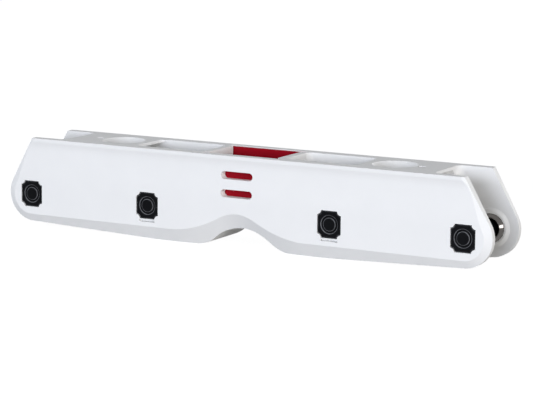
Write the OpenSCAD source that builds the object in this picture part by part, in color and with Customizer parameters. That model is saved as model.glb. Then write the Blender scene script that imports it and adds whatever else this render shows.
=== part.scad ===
// Aggressive inline skate frame: a white moulded rail for four wheels, with a red centre insert,
// keyed axles and pressed-in wheel bushings. X runs along the frame, Y across it and Z up.
// The origin is under the middle of the frame, at the height of its lowest edge.

/* [Side walls] */
// Height from the lowest edge up to the deck
frame_h = 49.5; // [47.5:0.5:58]
// Length of the straight top edge of each side wall
top_l = 260; // [252:1:274]
// Thickness of each side wall
wall_t = 5; // [4.6:0.1:6]
// Radius of the round nose at each end, about the outer axle
nose_r = 15.4; // [13.5:0.1:16.5]
// Length of the lowest, level stretch of the bottom edge
flat_l = 100; // [90:1:110]

/* [Outer face] */
// Depth of the cove that runs along each wall under its top edge
cove_depth = 0.65; // [0.4:0.05:1]
// Height of the plain lip above the cove
cove_lip = 1.9; // [1:0.1:3]
// Height of the cove's upper, tighter part
cove_top_h = 4.5; // [3.6:0.1:6]
// Height of the cove's lower part, which runs out into the wall
cove_run_h = 20; // [12:0.5:24]
// Height at which the lower bevel starts on the outer face
bevel_z = 7.1; // [5:0.1:8]
// Slope of the bevel from level, in degrees
bevel_slope = 65; // [62:1:68]
// Width of the bevel where it ends, at the top corner of each end
bevel_tip_w = 1.6; // [0.8:0.1:2.4]

/* [Grind groove] */
// Height of the groove's arch above the lowest edge
arch_h = 10.9; // [8:0.1:12]
// Half-length of the groove's arch along the frame
arch_half_l = 28.6; // [26:0.1:32]
// Share of the arch's height that the hollow arcs at its feet take up
arch_foot = 0.4; // [0.3:0.05:0.6]
// How far the groove's middle lies from the middle of the frame
arch_shift = 2.3; // [-3:0.1:3]
// Height to which the bevel climbs over the groove
arch_bevel_h = 18.7; // [16:0.1:20]
// Half-length of the bevel's climb along the frame
arch_bevel_half_l = 43; // [38:0.5:45]
// Share of the bevel's climb that the hollow arcs at its feet take up
arch_bevel_foot = 0.75; // [0.5:0.05:0.8]
// How far the middle of the bevel's climb lies from the middle of the frame
arch_bevel_shift = 0.2; // [-2:0.1:2]
// Thickness of the block's floor over the crest of the arch
floor_t = 4; // [3:0.1:6]

/* [Deck] */
// Thickness of the two deck lands
deck_t = 12; // [10:0.5:14]
// Radius of the corners of the deck's slots and end notches
slot_r = 3.8; // [3:0.1:5]
// Extra thickness of the walls along the deck's slots
slot_rim_t = 1.75; // [1:0.05:2.5]
// Length of the centre pocket between its cross walls
pocket_l = 41.6; // [36:0.2:42]
// Thickness of the two cross walls
cross_t = 4; // [3.4:0.1:4.2]
// Thickness of the deck lands at their thin ends, over the hollows for the wheels
land_tip_t = 1.7; // [1.2:0.1:3]
// Width of the outer hollows where they are deepest, between flanks that slope down towards the walls
hollow_w = 16; // [12:0.5:22]

/* [Mounting] */
// Distance between the two mounting holes
mount_span = 165; // [160:1:172]
// Diameter of the clearance hole for an M6 mounting bolt
mount_d = 6.5; // [6.3:0.1:7]
// Diameter of the dish round each mounting hole
dish_d = 24; // [20:0.5:26]
// Diameter of the flat floor of the dish
dish_floor_d = 15; // [12:0.5:17]
// Depth of the dish
dish_depth = 4.5; // [3:0.1:6]
// Deck left between the dish and the slot
dish_web = 4.2; // [3:0.1:6]
// Distance from a mounting hole to its locating hole
pin_step = 15.1; // [14.5:0.1:17]
// Diameter of the locating holes
pin_d = 4; // [3:0.1:4.5]
// Depth of the locating holes
pin_depth = 5; // [3:0.1:6]
// Deck left from the locating hole's middle to the end notch
pin_edge = 13.6; // [10:0.1:15]

/* [Axles] */
// Distance between the two outer axles
outer_span = 260; // [254:1:268]
// Distance between the two inner axles
inner_span = 110; // [110:1:116]
// Height of the axles above the lowest edge
axle_z = 18.4; // [17.4:0.1:20]
// Diameter of the axle's shank
axle_d = 8; // [7:0.1:8.4]
// Width of the axle's head along the frame
head_w = 13.4; // [12.6:0.1:14.4]
// Height of the axle's head
head_l = 14.2; // [13.4:0.1:15]
// Radius of the scoop in each corner of the head
scoop_r = 2.3; // [1.6:0.1:2.8]
// Depth of the recess that holds the head, and of the counterbore across from it
recess_depth = 3; // [2.8:0.1:3.6]
// How far the head lies below the outer face
head_sink = 0.3; // [0.1:0.05:0.8]
// Length of the slot under each inner head
lever_l = 9.8; // [8:0.2:12]
// Height of the slot
lever_h = 1; // [0.8:0.1:1.6]
// Depth of the slot
lever_depth = 2.4; // [1:0.1:3]
// Wall left between the slot and the head's recess
lever_gap = 0.6; // [0.5:0.1:1.2]
// Outer diameter of the ring groove in the head's face
ring_d = 9.4; // [8:0.1:10]
// Width of the ring groove
ring_w = 1.1; // [0.6:0.1:1.6]
// Depth of the ring groove
ring_depth = 0.5; // [0.3:0.1:0.8]
// Length of the threaded hole in the axle's far end
thread_hole_l = 17; // [15:0.5:20]

/* [Axle screws] */
// Diameter of the screw's thread
screw_d = 6; // [4:0.5:6]
// Length of the screw under its head
screw_l = 13; // [10:0.5:14]
// Diameter of the screw's round head
screw_head_d = 12.6; // [11:0.1:14]
// How far the screw's head lies below the outer face
screw_sink = 0.4; // [0.2:0.1:0.8]
// Width across the flats of the hex socket
socket_w = 5; // [4:0.5:6]
// Depth of the hex socket
socket_depth = 1.7; // [1.2:0.1:1.9]

/* [Wheel bushings] */
// Width of the gap for a wheel's hub, between two bushing faces
hub_gap = 24.2; // [24.1:0.1:26]
// Thickness of the bushing's flange
flange_t = 2.5; // [1.8:0.1:3.5]
// Diameter of the bushing's conical flange at the boss
flange_d = 15.4; // [14.4:0.1:16.2]
// Diameter of the flange at its face
flange_face_d = 12.2; // [11.4:0.1:13.4]
// Height of the straight rim under the cone
flange_rim_h = 0.5; // [0.3:0.1:1]
// Diameter of the countersink at the mouth of the bushing's bore
mouth_d = 10.6; // [9.5:0.1:11]
// Diameter of the barrel that is pressed into the wall
barrel_d = 10; // [9.8:0.1:12]
// Height of the boss on the wall round each bushing
boss_h = 0.9; // [0.5:0.1:1.5]
// Diameter of the boss at the wall
boss_d = 21; // [18.2:0.1:22]
// Diameter of the boss at its face
boss_face_d = 17; // [16.4:0.1:17.8]

/* [Centre insert] */
// Thickness of the insert's side plates
insert_t = 2; // [1.6:0.1:2.6]
// Thickness of the insert's floor
insert_floor_t = 2.5; // [1.5:0.1:4]
// Depth of the grooves in the cross walls that guide the side plates
guide_depth = 2.5; // [1.5:0.1:3]
// Gap between a side plate and the inner edge of its groove
guide_gap = 0.5; // [0.2:0.05:0.7]
// How far the insert's rim lies below the deck
insert_drop = 0.3; // [0.2:0.1:1.5]
// Length of each cut-out in the side walls
window_l = 19; // [14:0.5:24]
// Height of each cut-out
window_h = 4.2; // [3:0.1:5]
// Distance between the two cut-outs' middles
window_pitch = 9.6; // [7:0.1:12]
// Distance from the deck down to the middle between the cut-outs
window_drop = 15.3; // [14.5:0.1:18]

/* [Fits] */
// Gap all round a part that is slipped in by hand
slip_gap = 0.15; // [0.1:0.01:0.3]
// Radial gap of an axle or a thread in its hole
run_gap = 0.05; // [0.02:0.01:0.1]
// Gap left between the axle's end and the screw's head
end_gap = 0.5; // [0.3:0.1:1]

/* [Hidden] */
$fn = 96;
// Overshoot of every cut past the face that it opens
cut = 3;
inner_y = hub_gap / 2 + flange_t + boss_h;
half_w = inner_y + wall_t;
boss_y = inner_y - boss_h;
seat_y = half_w - recess_depth;
outer_x = outer_span / 2;
inner_x = inner_span / 2;
axle_xs = [-outer_x, -inner_x, inner_x, outer_x];
end_x = outer_x + nose_r;
pocket_x = pocket_l / 2;
cross_x = pocket_x + cross_t;
slot_half_w = inner_y - slot_rim_t;
mount_x = mount_span / 2;
pin_x = mount_x + pin_step;
slot_end_x = mount_x - dish_d / 2 - dish_web;
deck_end_x = pin_x + pin_edge;
// Height of the undersides of the lands' thin ends above the axles
land_tip_h = frame_h - land_tip_t - axle_z;
inner_clear_r = norm([slot_end_x - inner_x, land_tip_h]);
outer_clear_r = norm([outer_x - deck_end_x, land_tip_h]);
pocket_z = arch_h + floor_t;
guide_y = inner_y - slip_gap - insert_t - guide_gap;
head_h = recess_depth - head_sink;
screw_head_h = recess_depth - screw_sink;

// Angle at which the line from a point p touches the nose, on the side given by its sign
function touch_angle(p, side) =
    atan2(p[1] - axle_z, p[0] - outer_x)
    + side * acos(nose_r / norm([p[0] - outer_x, p[1] - axle_z]));
top_angle = touch_angle([top_l / 2, frame_h], -1);
low_angle = touch_angle([flat_l / 2, 0], 1);
function on_nose(angle) = [outer_x + nose_r * cos(angle), axle_z + nose_r * sin(angle)];
// Length of the sloping end of a wall, from the nose up to the deck
end_l = norm(on_nose(top_angle) - [top_l / 2, frame_h]);
// How much narrower the nose's bevel is than the bevels that it runs into
lap = 0.15;
end_bevel_w = bevel_z + nose_r - axle_z;
end_bevel_in = end_bevel_w / tan(bevel_slope);
// How far the bell's feet run on below the line that they end on
foot = 0.1;
// How far the bell's crest arc reaches into its foot arcs
lap_in = 0.01;

// Copies a shape to both ends of the frame
module both_ends() {
    children();
    mirror([1, 0, 0]) children();
}

// Copies a shape to both side walls
module both_walls() {
    children();
    mirror([0, 1, 0]) children();
}

// Extrudes a drawing in X and Z through the given reach to either side
module across(reach) {
    rotate([90, 0, 0]) translate([0, 0, -reach]) linear_extrude(2 * reach) children();
}

// Extrudes a drawing in Y and Z through the given reach to either end
module along(reach) {
    rotate([90, 0, 90]) translate([0, 0, -reach]) linear_extrude(2 * reach) children();
}

// Half of the side view, with the nose as a true arc about the outer axle
module half_side_view() {
    low = on_nose(low_angle);
    top = on_nose(top_angle);
    polygon([[0, 0], [flat_l / 2, 0], low, [outer_x, axle_z], top, [top_l / 2, frame_h], [0, frame_h]]);
    translate([outer_x, axle_z]) circle(nose_r);
}

// Bell-shaped drawing: a crest arc that runs out through two foot arcs, which take up a share of its height
module bell(half_l, top, share) {
    h = top + foot;
    both_r = (half_l * half_l + h * h) / (2 * h);
    crest_r = (1 - share) * both_r;
    foot_r = share * both_r;
    join = [(1 - share) * half_l, share * h];
    translate([0, -foot]) {
        difference() {
            polygon([
                [-half_l, -cut], [half_l, -cut], [half_l, 0],
                [join[0], join[1]], [-join[0], join[1]], [-half_l, 0]
            ]);
            for (side = [-1, 1]) translate([side * half_l, foot_r]) circle(foot_r);
        }
        intersection() {
            translate([0, h - crest_r]) circle(crest_r + lap_in);
            translate([-half_l, join[1] - h / 10]) square([2 * half_l, h]);
        }
    }
}

// Rounded rectangle from x0 to x1
module rounded_plan(x0, x1, half_y, r) {
    translate([x0 + r, -half_y]) square([x1 - x0 - 2 * r, 2 * half_y]);
    translate([x0, r - half_y]) square([x1 - x0, 2 * (half_y - r)]);
    for (x = [x0 + r, x1 - r], y = [r - half_y, half_y - r]) translate([x, y]) circle(r);
}

// Section of the cove in Y and Z: a tight arc under the lip, then an S-curve out to the wall
module cove_section() {
    deep_z = frame_h - cove_lip - cove_top_h;
    top_r = (cove_top_h * cove_top_h + cove_depth * cove_depth) / (2 * cove_depth);
    run_r = (cove_run_h * cove_run_h + cove_depth * cove_depth) / (4 * cove_depth);
    low_z = deep_z - cove_run_h;
    mid_z = deep_z - cove_run_h / 2;
    back_y = half_w - 2 * cove_depth;
    intersection() {
        translate([half_w - cove_depth + top_r, deep_z]) circle(top_r);
        translate([back_y, deep_z]) square([cut, top_r]);
    }
    intersection() {
        translate([half_w - cove_depth + run_r, deep_z]) circle(run_r);
        translate([back_y, mid_z]) square([cut, cove_run_h / 2]);
    }
    difference() {
        translate([back_y, low_z]) square([cut, cove_run_h / 2]);
        translate([half_w - run_r, low_z]) circle(run_r);
    }
}

// Bevel along the foot of a wall and over its groove, carried along a line that slopes up and out
module foot_bevel_cut() {
    rise = cos(bevel_slope);
    translate([0, half_w, 0]) rotate([90 + bevel_slope, 0, 0]) translate([0, 0, -frame_h])
        linear_extrude(2 * frame_h) {
            translate([-end_x, -cut]) square([2 * end_x, cut + bevel_z * rise]);
            translate([arch_bevel_shift, bevel_z * rise])
                bell(arch_bevel_half_l, (arch_bevel_h - bevel_z) * rise, arch_bevel_foot);
        }
}

// Bevel of one end: round the nose, then up the slope as a flat that narrows to its tip
module end_bevel_cut() {
    tip_z = end_l * end_bevel_w / (end_bevel_w - bevel_tip_w);
    out = [1 / end_bevel_w, 1 / end_bevel_in, -1 / tip_z];
    over = cut * tan(bevel_slope);
    nose_in = nose_r - end_bevel_w + lap;
    translate([outer_x, 0, axle_z]) {
        rotate([-90, 0, 0]) rotate([0, 0, -top_angle]) rotate_extrude(angle = top_angle + 90)
            polygon([
                [nose_in - over, half_w + cut], [nose_in + 3 * over, half_w + cut],
                [nose_in + 3 * over, half_w - 3 * cut]
            ]);
        rotate([0, -top_angle, 0]) intersection() {
            translate([nose_r, half_w, tip_z])
                rotate([0, acos(out[2] / norm(out)), atan2(out[1], out[0])])
                translate([-end_x, -end_x, 0]) cube(2 * end_x);
            translate([0, 0, -nose_r / 2]) cube([nose_r + cut, half_w + cut, nose_r / 2 + end_l + cut]);
        }
    }
}

// Space under and between the deck lands at one end, open for two wheels
module wheel_bay() {
    bay_z = frame_h - deck_t;
    far_x = end_x + cut + slot_r;
    translate([0, 0, -cut]) linear_extrude(bay_z + cut) rounded_plan(cross_x, far_x, inner_y, slot_r);
    translate([0, 0, bay_z - cut]) linear_extrude(deck_t + 2 * cut) {
        rounded_plan(cross_x, slot_end_x, slot_half_w, slot_r);
        rounded_plan(deck_end_x, far_x, inner_y, slot_r);
    }
    across(slot_half_w) intersection() {
        translate([inner_x, axle_z]) circle(inner_clear_r);
        translate([cross_x + slot_r, 0]) square([end_x, frame_h + cut]);
    }
    flank = slot_half_w - hollow_w / 2;
    translate([outer_x, 0, axle_z]) {
        across(hollow_w / 2) circle(outer_clear_r);
        both_walls() translate([0, hollow_w / 2, 0]) rotate([-90, 0, 0])
            cylinder(r1 = outer_clear_r, r2 = outer_clear_r - flank, h = flank);
    }
}

// Pocket for the centre insert, with guide grooves for its side plates
module centre_pocket() {
    depth = frame_h - pocket_z + cut;
    translate([-pocket_x, -guide_y, pocket_z]) cube([pocket_l, 2 * guide_y, depth]);
    both_walls() translate([-pocket_x - guide_depth, guide_y, pocket_z])
        cube([pocket_l + 2 * guide_depth, inner_y - guide_y, depth]);
}

// Mounting hole with its dish, and the locating hole beside it
module mount_cut() {
    translate([mount_x, 0, frame_h - deck_t - cut]) cylinder(d = mount_d, h = deck_t + 2 * cut);
    translate([mount_x, 0, frame_h - dish_depth]) cylinder(d1 = dish_floor_d, d2 = dish_d, h = dish_depth);
    translate([mount_x, 0, frame_h]) cylinder(d = dish_d, h = cut);
    translate([pin_x, 0, frame_h - pin_depth]) cylinder(d = pin_d, h = pin_depth + cut);
}

// Rectangle with scooped corners, the plan of an axle head or of its recess when grown by a gap
module head_plan(gap) {
    w = head_w + 2 * gap;
    h = head_l + 2 * gap;
    difference() {
        square([w, h], center = true);
        for (x = [-1, 1], y = [-1, 1]) translate([x * w / 2, y * h / 2]) circle(scoop_r - gap);
    }
}

// Everything cut through the walls at one axle
module axle_cut() {
    across(half_w + cut) circle(d = barrel_d);
    translate([0, -seat_y, 0]) rotate([90, 0, 0]) linear_extrude(recess_depth + cut) head_plan(slip_gap);
    translate([0, seat_y, 0]) rotate([-90, 0, 0])
        cylinder(d = screw_head_d + 2 * slip_gap, h = recess_depth + cut);
}

// Slot under an inner head, where a lever takes hold to draw the axle
module lever_cut() {
    top_z = -head_l / 2 - slip_gap - lever_gap;
    translate([-lever_l / 2, -half_w - cut, top_z - lever_h]) cube([lever_l, cut + lever_depth, lever_h]);
}

// Two long cut-outs with round ends, through both walls
module window_cut() {
    straight = window_l - window_h;
    across(half_w + cut) for (step = [-1, 1]) {
        z = frame_h - window_drop + step * window_pitch / 2;
        translate([-straight / 2, z - window_h / 2]) square([straight, window_h]);
        for (side = [-1, 1]) translate([side * straight / 2, z]) circle(d = window_h);
    }
}

// Low cone on a wall's inner face that a bushing's flange stands on
module boss() {
    translate([0, boss_y, 0]) rotate([-90, 0, 0]) cylinder(d1 = boss_face_d, d2 = boss_d, h = boss_h);
}

module frame_body() {
    color("whitesmoke") difference() {
        union() {
            difference() {
                across(half_w) difference() {
                    both_ends() half_side_view();
                    translate([arch_shift, 0]) bell(arch_half_l, arch_h, arch_foot);
                }
                both_ends() wheel_bay();
            }
            for (x = axle_xs) translate([x, 0, axle_z]) both_walls() boss();
        }
        both_walls() {
            along(end_x + cut) cove_section();
            foot_bevel_cut();
            both_ends() end_bevel_cut();
        }
        centre_pocket();
        both_ends() mount_cut();
        for (x = axle_xs) translate([x, 0, axle_z]) axle_cut();
        for (x = [-inner_x, inner_x]) translate([x, 0, axle_z]) lever_cut();
        window_cut();
    }
}

module centre_insert() {
    plate_l = pocket_l + 2 * (guide_depth - slip_gap);
    floor_l = pocket_l - 2 * slip_gap;
    plate_y = inner_y - slip_gap - insert_t;
    plate_h = frame_h - insert_drop - pocket_z;
    color("crimson") {
        translate([-floor_l / 2, -plate_y, pocket_z]) cube([floor_l, 2 * plate_y, insert_floor_t]);
        both_walls() translate([-plate_l / 2, plate_y, pocket_z]) cube([plate_l, insert_t, plate_h]);
    }
}

// Axle along Y with its head at the near wall and a threaded hole in its far end
module axle(x) {
    tip_y = seat_y - end_gap;
    color("#1a1b1e") translate([x, 0, axle_z]) difference() {
        union() {
            translate([0, -seat_y, 0]) rotate([90, 0, 0]) linear_extrude(head_h) head_plan(0);
            translate([0, -seat_y, 0]) rotate([-90, 0, 0]) cylinder(d = axle_d, h = seat_y + tip_y);
        }
        translate([0, ring_depth - seat_y - head_h, 0]) rotate([90, 0, 0])
            linear_extrude(cut) difference() {
                circle(d = ring_d);
                circle(d = ring_d - 2 * ring_w);
            }
        translate([0, tip_y - thread_hole_l, 0]) rotate([-90, 0, 0])
            cylinder(d = screw_d + 2 * run_gap, h = thread_hole_l + cut);
    }
}

// Screw that closes an axle from the far wall
module axle_screw(x) {
    color("#1a1b1e") translate([x, seat_y, axle_z]) rotate([-90, 0, 0]) difference() {
        union() {
            cylinder(d = screw_head_d, h = screw_head_h);
            translate([0, 0, -screw_l]) cylinder(d = screw_d, h = screw_l);
        }
        translate([0, 0, screw_head_h - socket_depth]) cylinder(d = socket_w / cos(30), h = cut, $fn = 6);
    }
}

// Flanged bushing at the far wall: its barrel fills the wall and its face stops the wheel's hub
module bushing(x) {
    face_y = hub_gap / 2;
    bore = axle_d + 2 * run_gap;
    mouth_h = (mouth_d - bore) / 2;
    cone_h = flange_t - flange_rim_h;
    color("silver") translate([x, face_y, axle_z]) rotate([-90, 0, 0]) difference() {
        union() {
            cylinder(d1 = flange_face_d, d2 = flange_d, h = cone_h);
            translate([0, 0, cone_h]) cylinder(d = flange_d, h = flange_rim_h);
            cylinder(d = barrel_d, h = seat_y - face_y);
        }
        translate([0, 0, -cut]) cylinder(d = bore, h = seat_y + 2 * cut);
        cylinder(d1 = mouth_d, d2 = bore, h = mouth_h);
    }
}

frame_body();
centre_insert();
for (i = [0:3]) {
    axle(axle_xs[i]);
    axle_screw(axle_xs[i]);
    mirror([0, 1, 0]) bushing(axle_xs[i]);
    bushing(axle_xs[i]);
}
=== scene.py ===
# An aggressive inline skate frame, put together as on the bench: the white moulded body, its pressed-in
# bushings, the red centre insert, then the axles and the screws that close them, and the studio round it.
from math import cos, pi, radians, sin

import bmesh
import bpy
import numpy as np
from mathutils import Matrix, Vector


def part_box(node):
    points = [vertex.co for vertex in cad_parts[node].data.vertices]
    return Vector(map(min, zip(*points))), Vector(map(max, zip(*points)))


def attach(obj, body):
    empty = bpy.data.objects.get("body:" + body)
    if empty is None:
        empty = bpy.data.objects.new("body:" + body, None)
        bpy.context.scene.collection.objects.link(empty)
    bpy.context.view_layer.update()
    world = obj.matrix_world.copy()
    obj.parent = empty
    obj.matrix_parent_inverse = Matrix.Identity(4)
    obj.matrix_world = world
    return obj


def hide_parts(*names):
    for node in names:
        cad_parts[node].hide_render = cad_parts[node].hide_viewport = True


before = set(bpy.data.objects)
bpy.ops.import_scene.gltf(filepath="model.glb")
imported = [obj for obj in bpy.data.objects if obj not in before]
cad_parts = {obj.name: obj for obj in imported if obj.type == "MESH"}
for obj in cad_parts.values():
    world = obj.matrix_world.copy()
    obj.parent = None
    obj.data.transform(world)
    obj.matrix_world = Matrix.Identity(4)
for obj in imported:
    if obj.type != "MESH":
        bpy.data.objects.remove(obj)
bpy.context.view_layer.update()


# Frame body
# One injection moulding of white glass-filled nylon: two side walls joined by the deck lands, the cross
# walls of the centre pocket and the grind block. The mould leaves its edges round and its faces satin.
MM = 0.001
MOULD_EDGE_R = 0.35 * MM
MOULD_EDGE_ANGLE = radians(14)
FLAT_ANGLE = radians(0.4)
SAME_POINT = 0.002 * MM


def softened(node):
    """A copy of a CAD node with its doubles merged and its flat faces joined, and with each edge that is
    sharper than a small angle rounded in three steps."""
    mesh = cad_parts[node].data.copy()
    mesh.name = node + "_moulding"
    work = bmesh.new()
    work.from_mesh(mesh)
    bmesh.ops.remove_doubles(work, verts=work.verts, dist=SAME_POINT)
    bmesh.ops.dissolve_limit(work, angle_limit=FLAT_ANGLE, verts=work.verts, edges=work.edges)
    work.to_mesh(mesh)
    work.free()
    if "custom_normal" in mesh.attributes:
        mesh.attributes.remove(mesh.attributes["custom_normal"])
    mesh.shade_smooth()
    mesh.materials.clear()
    piece = bpy.data.objects.new(mesh.name, mesh)
    bpy.context.scene.collection.objects.link(piece)
    round_edges = piece.modifiers.new("moulded edges", "BEVEL")
    round_edges.width = MOULD_EDGE_R
    round_edges.segments = 3
    round_edges.limit_method = "ANGLE"
    round_edges.angle_limit = MOULD_EDGE_ANGLE
    round_edges.harden_normals = True
    return piece


def linear(hex_colour):
    """An sRGB hex colour as linear red, green, blue and full alpha."""
    srgb = np.array([int(hex_colour[i:i + 2], 16) for i in (1, 3, 5)]) / 255
    rgb = np.where(srgb <= 0.04045, srgb / 12.92, ((srgb + 0.055) / 1.055) ** 2.4)
    return (*rgb, 1.0)


def wire(tree, node, inputs):
    """Links each input that is given as a socket, and sets each one that is given as a value."""
    for name, value in inputs.items():
        if isinstance(value, bpy.types.NodeSocket):
            tree.links.new(value, node.inputs[name])
        else:
            node.inputs[name].default_value = value


def add_node(tree, kind, inputs, **settings):
    """Adds one shader node with its inputs; settings are its own options."""
    node = tree.nodes.new("ShaderNode" + kind)
    for option, value in settings.items():
        setattr(node, option, value)
    wire(tree, node, inputs)
    return node


def moulded_nylon(name, light, dark, roughness, shine):
    """Glass-filled nylon from a spark-eroded mould: a satin skin with faint clouds where the fibres flowed,
    and a fine grain. The real grain is near 0.1 mm; it is drawn at 0.5 mm so that it shows."""
    cloud_size = 14 * MM
    grain_size = 0.5 * MM
    material = bpy.data.materials.new(name)
    material.use_nodes = True
    tree = material.node_tree
    place = add_node(tree, "TexCoord", {}).outputs["Object"]
    cloud = add_node(tree, "TexNoise", {"Vector": place, "Scale": 1 / cloud_size, "Detail": 3.0})
    grain = add_node(tree, "TexNoise", {"Vector": place, "Scale": 1 / grain_size, "Detail": 2.0})
    tint = add_node(
        tree, "Mix", {0: cloud.outputs["Fac"], 6: linear(dark), 7: linear(light)}, data_type="RGBA"
    )
    gloss = add_node(
        tree, "MapRange",
        {"Value": cloud.outputs["Fac"], "To Min": roughness - 0.05, "To Max": roughness + 0.05},
    )
    bump = add_node(
        tree, "Bump", {"Height": grain.outputs["Fac"], "Strength": 0.12, "Distance": 0.05 * MM}
    )
    wire(tree, tree.nodes["Principled BSDF"], {
        "Base Color": tint.outputs[2], "Roughness": gloss.outputs["Result"], "IOR": 1.53,
        "Specular IOR Level": shine, "Normal": bump.outputs["Normal"],
    })
    return material


white_nylon = moulded_nylon("white_nylon_moulded", "#F2F2F1", "#EDEDEC", 0.55, 0.3)
frame_body = softened("frame_body")
frame_body.data.materials.append(white_nylon)
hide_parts("frame_body")
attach(frame_body, "frame")


# Wheel bushings
# Sleeves with a conical flange, turned from bright steel and polished, one pressed into each wall at each
# axle. The flange stands on the wall's boss, and its face stops the hub of a wheel.
BORE_R = 4.05 * MM
MOUTH_R = 5.3 * MM
BARREL_R = 5.0 * MM
FACE_R = 6.1 * MM
FLANGE_T = 2.5 * MM
RIM_H = 0.5 * MM
BUSHING_EDGE_R = 0.25 * MM
BUSHING_STEPS = 96
SAME_RING_POINT = 0.0005 * MM


def rounded(points, edge_r, steps=4):
    """A closed outline whose corners are replaced by parabolas: each starts and ends edge_r from its corner
    on the two sides that meet there, or a little under half of the shorter one, and is pulled towards the
    corner."""
    most_of_side = 0.45
    corner = np.asarray(points, float)
    before = np.roll(corner, 1, axis=0) - corner
    after = np.roll(corner, -1, axis=0) - corner
    before_l = np.linalg.norm(before, axis=1)[:, None]
    after_l = np.linalg.norm(after, axis=1)[:, None]
    reach = np.minimum(edge_r, most_of_side * np.minimum(before_l, after_l))
    start = corner + before / before_l * reach
    end = corner + after / after_l * reach
    s = np.linspace(0, 1, steps + 1)[None, :, None]
    curve = (1 - s) ** 2 * start[:, None] + 2 * s * (1 - s) * corner[:, None] + s ** 2 * end[:, None]
    return curve.reshape(-1, 2)


def surface(name, points, closed_rows, wear_and_highlight=0.0):
    """A mesh over a grid of points, rows by columns, whose columns close in a ring and whose rows close too
    if asked. The UV map holds the turn, from 0 to 1, and the distance along the first column in mm. A point
    attribute holds how far each row is drawn light grey, from 0 to 1: partly rubbed steel, partly a painted
    highlight along edges."""
    rows, columns = points.shape[:2]
    last = rows if closed_rows else rows - 1
    i, j = np.meshgrid(np.arange(last), np.arange(columns), indexing="ij")
    this_row, next_row = i * columns, (i + 1) % rows * columns
    beside = (j + 1) % columns
    quads = np.stack([this_row + j, this_row + beside, next_row + beside, next_row + j], -1)
    steps = np.linalg.norm(np.diff(points[:, 0], axis=0), axis=1)
    along = np.concatenate([[0], np.cumsum(steps)]) / MM
    along = np.append(along, along[-1] + np.linalg.norm(points[-1, 0] - points[0, 0]) / MM)
    turn = np.linspace(0, 1, columns + 1)
    corners = [(i, j), (i, j + 1), (i + 1, j + 1), (i + 1, j)]
    uv = np.stack([np.stack([turn[b], along[a]], -1) for a, b in corners], 2)
    mesh = bpy.data.meshes.new(name)
    mesh.from_pydata(points.reshape(-1, 3), [], quads.reshape(-1, 4).tolist())
    mesh.uv_layers.new(name="turned").data.foreach_set("uv", uv.reshape(-1).astype(np.float32))
    rubbed_and_highlight = np.repeat(np.broadcast_to(wear_and_highlight, rows), columns).astype(np.float32)
    mesh.attributes.new("wear_and_highlight", "FLOAT", "POINT").data.foreach_set("value", rubbed_and_highlight)
    work = bmesh.new()
    work.from_mesh(mesh)
    bmesh.ops.remove_doubles(work, verts=work.verts, dist=SAME_RING_POINT)
    bmesh.ops.recalc_face_normals(work, faces=work.faces)
    work.to_mesh(mesh)
    work.free()
    mesh.shade_smooth()
    piece = bpy.data.objects.new(name, mesh)
    bpy.context.scene.collection.objects.link(piece)
    piece.modifiers.new("flat faces", "WEIGHTED_NORMAL").keep_sharp = True
    return piece


def rings(radius, y, angle, x, z):
    """Grid of rings round the line through x and z that runs along Y: each row has its radius, which may
    change with the angle, and its place y on that line."""
    return np.stack(np.broadcast_arrays(x + radius * np.cos(angle), y, z + radius * np.sin(angle)), -1)


def turned_steel(name, light, dark, roughness, mark_depth):
    """Steel turned on a lathe and polished: a mirror with fine rings left by the tool, about 0.15 mm apart.
    They run round the piece, so they follow the distance along its profile."""
    ring_pitch = 0.15
    material = bpy.data.materials.new(name)
    material.use_nodes = True
    tree = material.node_tree
    uv = add_node(tree, "UVMap", {}, uv_map="turned").outputs["UV"]
    along = add_node(tree, "SeparateXYZ", {"Vector": uv}).outputs["Y"]
    marks = add_node(
        tree, "TexNoise", {"W": along, "Scale": 1 / ring_pitch, "Detail": 2.0}, noise_dimensions="1D"
    )
    tint = add_node(
        tree, "Mix", {0: marks.outputs["Fac"], 6: linear(dark), 7: linear(light)}, data_type="RGBA"
    )
    gloss = add_node(
        tree, "MapRange",
        {"Value": marks.outputs["Fac"], "To Min": roughness - 0.03, "To Max": roughness + 0.06},
    )
    bump = add_node(
        tree, "Bump", {"Height": marks.outputs["Fac"], "Strength": 0.25, "Distance": mark_depth}
    )
    wire(tree, tree.nodes["Principled BSDF"], {
        "Base Color": tint.outputs[2], "Roughness": gloss.outputs["Result"], "Metallic": 1.0,
        "Normal": bump.outputs["Normal"],
    })
    return material


bright_steel = turned_steel("bright_steel_turned", "#6A6765", "#504D4B", 0.1, 0.01 * MM)
bushing_angle = np.linspace(0, 2 * pi, BUSHING_STEPS, endpoint=False)
for number in range(1, 5):
    for side, out in (("near", -1), ("far", 1)):
        node = f"{side}_bushing_{number}"
        low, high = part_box(node)
        x, z = (low.x + high.x) / 2, (low.z + high.z) / 2
        flange_r = (high.x - low.x) / 2
        face_y, back_y = sorted((abs(low.y), abs(high.y)))
        profile = rounded([
            (BORE_R, back_y), (BORE_R, face_y + MOUTH_R - BORE_R), (MOUTH_R, face_y),
            (FACE_R, face_y), (flange_r, face_y + FLANGE_T - RIM_H), (flange_r, face_y + FLANGE_T),
            (BARREL_R, face_y + FLANGE_T), (BARREL_R, back_y),
        ], BUSHING_EDGE_R)
        grid = rings(profile[:, :1], out * profile[:, 1:], bushing_angle, x, z)
        bushing = surface(node + "_turned", grid, True)
        bushing.data.materials.append(bright_steel)
        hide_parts(node)
        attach(bushing, "frame")


# Centre insert
# A U-shaped nylon moulding in deep red that drops into the pocket: two side plates that run in grooves of
# the cross walls, on a floor. It shows from above and through the cut-outs of the walls.
red_nylon = moulded_nylon("red_nylon_moulded", "#9A0318", "#8A0215", 0.5, 0.08)
insert = softened("centre_insert")
insert.data.materials.append(red_nylon)
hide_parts("centre_insert")
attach(insert, "insert")


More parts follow.
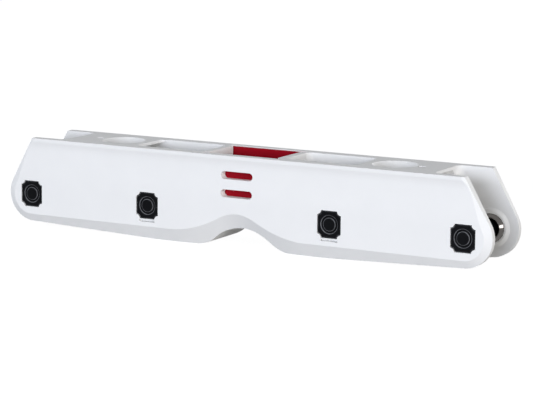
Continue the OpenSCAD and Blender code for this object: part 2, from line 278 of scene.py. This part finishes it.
# Axles
# Forged steel axles with a black oxide finish. The head, a rectangle with scooped corners, is keyed into
# the near wall, so that the axle can't turn, and its face has a ring groove. The far end is drilled and
# threaded for a screw.
SHANK_R = 4.0 * MM
HEAD_H = 2.7 * MM
HEAD_STEPS = 24
SCOOP_R = 2.3 * MM
POINT_EASE = 1.4 * MM
HEAD_EDGE_R = 0.4 * MM
RING_OUTER_R = 4.7 * MM
RING_INNER_R = 3.6 * MM
RING_DEPTH = 0.5 * MM
RING_BEVEL = 0.2 * MM
# How light grey each row of an axle is drawn: rubbed steel, and partly a painted highlight on edges.
RUBBED_AND_HIGHLIGHT, HANDLED_AND_HIGHLIGHT, BLACK = 1, 0.3, 0
HOLE_R = 3.05 * MM
HOLE_DEPTH = 17 * MM
TIP_CHAMFER = 0.6 * MM


def head_radius(half_w, half_l, angle):
    """Distance from the middle of the head to its edge: the nearer of the rectangle's side and the circle
    of the scoop that is centred on the corner, less a parabola's ease where the two come close, so that
    the points between them are round."""
    c, s = np.abs(np.cos(angle)), np.abs(np.sin(angle))
    side = 1 / np.maximum(c / half_w, s / half_l)
    towards = half_w * c + half_l * s
    under_root = towards ** 2 - (half_w ** 2 + half_l ** 2 - SCOOP_R ** 2)
    scoop = np.where(under_root > 0, towards - np.sqrt(np.maximum(under_root, 0)), side + POINT_EASE)
    closeness = np.maximum(POINT_EASE - np.abs(side - scoop), 0)
    return np.minimum(side, scoop) - closeness ** 2 / (4 * POINT_EASE)


def head_angles(half_w, half_l):
    """Turn angles in even steps along each side and each scoop, which take in the ends of the scoops."""
    low = np.arctan2(half_l - SCOOP_R, half_w)
    high = np.arctan2(half_l, half_w - SCOOP_R)
    stops = [-low, low, high, pi - high, pi - low, pi + low, pi + high, 2 * pi - high, 2 * pi - low]
    return np.linspace(stops[:-1], stops[1:], HEAD_STEPS, endpoint=False, axis=1).reshape(-1)


def black_oxide(name):
    """Steel blackened in a hot salt bath: a thin, near-black skin that leaves a dull metal sheen, a little
    greyer in clouds about 3 mm across, over the fine grain of the forging. Edges marked in the mesh are
    drawn in grey steel: partly rubbed bare, partly a painted highlight that stands in for the light those
    edges catch."""
    cloud_size = 3 * MM
    grain_size = 0.25 * MM
    material = bpy.data.materials.new(name)
    material.use_nodes = True
    tree = material.node_tree
    place = add_node(tree, "TexCoord", {}).outputs["Object"]
    cloud = add_node(tree, "TexNoise", {"Vector": place, "Scale": 1 / cloud_size, "Detail": 4.0})
    grain = add_node(tree, "TexNoise", {"Vector": place, "Scale": 1 / grain_size, "Detail": 2.0})
    tint = add_node(
        tree, "Mix", {0: cloud.outputs["Fac"], 6: linear("#060709"), 7: linear("#0B0C0F")}, data_type="RGBA"
    )
    # The edge attribute read here turns edges grey steel: partly rubbed bare steel, partly a painted
    # highlight.
    wear_and_highlight = add_node(tree, "Attribute", {}, attribute_name="wear_and_highlight")
    patchy = add_node(
        tree, "Math", {0: wear_and_highlight.outputs["Fac"], 1: cloud.outputs["Fac"]}, operation="MULTIPLY"
    )
    tint = add_node(
        tree, "Mix", {0: patchy.outputs[0], 6: tint.outputs[2], 7: linear("#8C8D91")}, data_type="RGBA"
    )
    gloss = add_node(tree, "MapRange", {"Value": cloud.outputs["Fac"], "To Min": 0.3, "To Max": 0.46})
    bump = add_node(
        tree, "Bump", {"Height": grain.outputs["Fac"], "Strength": 0.2, "Distance": 0.02 * MM}
    )
    wire(tree, tree.nodes["Principled BSDF"], {
        "Base Color": tint.outputs[2], "Roughness": gloss.outputs["Result"], "Specular IOR Level": 0.05,
        "Normal": bump.outputs["Normal"],
    })
    return material


black_steel = black_oxide("black_oxide_steel")
for number in range(1, 5):
    node = f"axle_{number}"
    low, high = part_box(node)
    x, z = (low.x + high.x) / 2, (low.z + high.z) / 2
    half_w, half_l = (high.x - low.x) / 2, (high.z - low.z) / 2
    face_y, tip_y = low.y, high.y
    angle = head_angles(half_w, half_l)
    edge = head_radius(half_w, half_l, angle)
    bevel_y, groove_y, shoulder_y = face_y + RING_BEVEL, face_y + RING_DEPTH, face_y + HEAD_H
    # The ring groove's bevels are drawn fully light grey and the head's round edge a little: rubbed steel,
    # and partly a painted highlight that those edges catch.
    rows = [
        (0, face_y, BLACK), (RING_INNER_R - 2 * RING_BEVEL, face_y, BLACK),
        (RING_INNER_R - RING_BEVEL, face_y, RUBBED_AND_HIGHLIGHT), (RING_INNER_R, bevel_y, RUBBED_AND_HIGHLIGHT),
        (RING_INNER_R, groove_y, BLACK), (RING_OUTER_R, groove_y, BLACK),
        (RING_OUTER_R, bevel_y, RUBBED_AND_HIGHLIGHT), (RING_OUTER_R + RING_BEVEL, face_y, RUBBED_AND_HIGHLIGHT),
        (RING_OUTER_R + 2 * RING_BEVEL, face_y, BLACK), (edge - 1.5 * HEAD_EDGE_R, face_y, BLACK),
    ]
    rows += [
        (edge - HEAD_EDGE_R * (1 - sin(e)), face_y + HEAD_EDGE_R * (1 - cos(e)), HANDLED_AND_HIGHLIGHT)
        for e in np.linspace(0, pi / 2, 4)
    ]
    rows += [
        (edge, shoulder_y, BLACK), (SHANK_R, shoulder_y, BLACK), (SHANK_R, tip_y - TIP_CHAMFER, BLACK),
        (SHANK_R - TIP_CHAMFER, tip_y, BLACK), (HOLE_R, tip_y, BLACK),
        (HOLE_R, tip_y - HOLE_DEPTH, BLACK), (0, tip_y - HOLE_DEPTH, BLACK),
    ]
    grid = np.stack([rings(radius, y, angle, x, z) for radius, y, rub_and_highlight in rows])
    axle = surface(node + "_forged", grid, False, [rub_and_highlight for radius, y, rub_and_highlight in rows])
    axle.data.materials.append(black_steel)
    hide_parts(node)
    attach(axle, node)


# Axle screws
# Black steel screws that close the axles from the far side: a round head with a hex socket, sunk in the
# wall's counterbore, on a threaded shank with a pitch of 1 mm.
SCREW_SHANK_R = 3.0 * MM
SCREW_HEAD_H = 2.6 * MM
SOCKET_HALF_W = 2.5 * MM
SOCKET_DEPTH = 1.7 * MM
SCREW_EDGE_R = 0.5 * MM
SOCKET_BEVEL = 0.15 * MM
PITCH = 1.0 * MM
THREAD_DEPTH = 0.5 * MM
THREAD_RUN_OUT = 1.5 * MM
THREAD_START = 0.2 * MM
TIP_CONE = 0.4 * MM
SCREW_STEPS = 72
for number in range(1, 5):
    node = f"axle_screw_{number}"
    low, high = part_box(node)
    x, z = (low.x + high.x) / 2, (low.z + high.z) / 2
    head_r = (high.x - low.x) / 2
    tip_y, face_y = low.y, high.y
    seat_y = face_y - SCREW_HEAD_H
    angle = np.linspace(0, 2 * pi, SCREW_STEPS, endpoint=False)

    # A hexagon's radius is its half width over the cosine of the turn from the middle of the nearest side
    hexagon = SOCKET_HALF_W / np.cos((angle + pi / 6) % (pi / 3) - pi / 6)
    floor_y = face_y - SOCKET_DEPTH
    rows = [
        (0, floor_y), (hexagon, floor_y),
        (hexagon, face_y - SOCKET_BEVEL), (hexagon + SOCKET_BEVEL, face_y),
    ]
    rows += [
        (head_r - SCREW_EDGE_R * (1 - sin(e)), face_y - SCREW_EDGE_R * (1 - cos(e)))
        for e in np.linspace(0, pi / 2, 5)
    ]
    rows += [(head_r, seat_y), (SCREW_SHANK_R, seat_y)]

    # The thread is a triangle wave of the place along the shank plus the turn, ten rows to a pitch, which
    # grows from nothing under the head to its full depth
    shank_y = np.arange(seat_y - THREAD_START, tip_y + TIP_CONE, -PITCH / 10)
    wave = np.abs((shank_y[:, None] / PITCH + angle / (2 * pi)) % 1 * 2 - 1)
    cut_in = np.clip((seat_y - shank_y) / THREAD_RUN_OUT, 0, 1)[:, None]
    rows += list(zip(SCREW_SHANK_R - THREAD_DEPTH * wave * cut_in, shank_y))
    rows += [(SCREW_SHANK_R - THREAD_DEPTH, tip_y), (0, tip_y)]
    grid = np.stack([rings(radius, y, angle, x, z) for radius, y in rows])
    screw = surface(node + "_threaded", grid, False)
    screw.data.materials.append(black_steel)
    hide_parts(node)
    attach(screw, node)


# Studio
# A plain white sweep under soft light: a broad low lamp in front and a faint high one, a low lamp at the
# right end, a higher one at the left and one behind. The camera stands in front on the right, a little
# above the deck.
FLOOR_SIZE = 8.0
half = FLOOR_SIZE / 2
floor_mesh = bpy.data.meshes.new("floor")
floor_mesh.from_pydata(
    [(-half, -half, 0), (half, -half, 0), (half, half, 0), (-half, half, 0)], [], [(0, 1, 2, 3)]
)
floor = bpy.data.objects.new("floor", floor_mesh)
bpy.context.scene.collection.objects.link(floor)


def seen_rays(tree):
    """1 on rays that show a surface, seen straight, in a reflection or through glass, and 0 on rays that
    only carry its light to other surfaces."""
    path = add_node(tree, "LightPath", {})
    seen = path.outputs["Is Camera Ray"]
    for ray in ("Is Glossy Ray", "Is Transmission Ray"):
        seen = add_node(tree, "Math", {0: seen, 1: path.outputs[ray]}, operation="MAXIMUM").outputs[0]
    return seen


# The paper looks white with a faint shadow, and throws only a plain grey's light back at the frame
paper = bpy.data.materials.new("white_paper_sweep")
paper.use_nodes = True
tree = paper.node_tree
lit = add_node(tree, "BsdfDiffuse", {"Color": linear("#827F77")})
faint = add_node(tree, "BsdfDiffuse", {"Color": linear("#7C7C7C")})
glow = add_node(tree, "Emission", {"Color": linear("#FFFFFF"), "Strength": 0.95})
white = add_node(tree, "AddShader", {0: faint.outputs[0], 1: glow.outputs[0]})
mix = add_node(tree, "MixShader", {0: seen_rays(tree), 1: lit.outputs[0], 2: white.outputs[0]})
wire(tree, tree.nodes["Material Output"], {"Surface": mix.outputs[0]})
floor_mesh.materials.append(paper)

# The world looks white too, and gives a tenth of that as light
world = bpy.data.worlds.new("white studio")
bpy.context.scene.world = world
world.use_nodes = True
tree = world.node_tree
strength = add_node(tree, "MapRange", {"Value": seen_rays(tree), "To Min": 0.1, "To Max": 1.0})
wire(tree, tree.nodes["Background"], {
    "Color": linear("#FFFFFF"), "Strength": strength.outputs["Result"],
})


def soft_lamp(name, azimuth, elevation, distance, width, height, watts, colour):
    """A flat lamp that faces the frame from a compass direction, counted from straight in front to the
    right, and an elevation, both in degrees. Its distance, width and height are in metres."""
    data = bpy.data.lights.new(name, "AREA")
    data.shape = "RECTANGLE"
    data.size = width
    data.size_y = height
    data.energy = watts
    data.color = linear(colour)[:3]
    lamp = bpy.data.objects.new(name, data)
    a, e = radians(azimuth), radians(elevation)
    away = Vector((sin(a) * cos(e), -cos(a) * cos(e), sin(e)))
    lamp.location = away * distance
    lamp.rotation_euler = away.to_track_quat("Z", "Y").to_euler()
    bpy.context.scene.collection.objects.link(lamp)


soft_lamp("front_lamp", 5, 9, 2.0, 1.2, 0.6, 23.6, "#EEF3FF")
soft_lamp("high_lamp", -10, 35, 2.0, 1.2, 0.6, 3, "#F8FBFF")
soft_lamp("right_lamp", 70, 9, 2.2, 0.9, 0.6, 25, "#FFFDFC")
soft_lamp("left_lamp", -60, 28, 2.2, 0.9, 0.9, 14, "#F4F8FF")
soft_lamp("back_lamp", 170, 10, 2.2, 1.2, 0.6, 18, "#F4F8FF")

# The camera's place and its long lens are fitted to the frame's edges in the photograph
PHOTO_WIDTH = 533
FOCAL_PIXELS = 2217.5
CAMERA_AZIMUTH, CAMERA_ELEVATION, CAMERA_ROLL = radians(28.665), radians(9.578), radians(0.534)
CAMERA_DISTANCE = 1180.8 * MM
CAMERA_TARGET = Vector((7.12 * MM, 0, 24.11 * MM))
camera_data = bpy.data.cameras.new("camera")
camera_data.sensor_width = 36
camera_data.lens = camera_data.sensor_width * FOCAL_PIXELS / PHOTO_WIDTH
camera_data.clip_start = 0.01
camera = bpy.data.objects.new("camera", camera_data)
bpy.context.scene.collection.objects.link(camera)
back = Vector((
    sin(CAMERA_AZIMUTH) * cos(CAMERA_ELEVATION), -cos(CAMERA_AZIMUTH) * cos(CAMERA_ELEVATION),
    sin(CAMERA_ELEVATION),
))
level = Vector((cos(CAMERA_AZIMUTH), sin(CAMERA_AZIMUTH), 0))
upright = back.cross(level)
right = cos(CAMERA_ROLL) * level + sin(CAMERA_ROLL) * upright
up = cos(CAMERA_ROLL) * upright - sin(CAMERA_ROLL) * level
turn = Matrix((right, up, back)).transposed().to_4x4()
camera.matrix_world = Matrix.Translation(CAMERA_TARGET + back * CAMERA_DISTANCE) @ turn
bpy.context.scene.camera = camera
bpy.context.scene.view_settings.view_transform = "Standard"
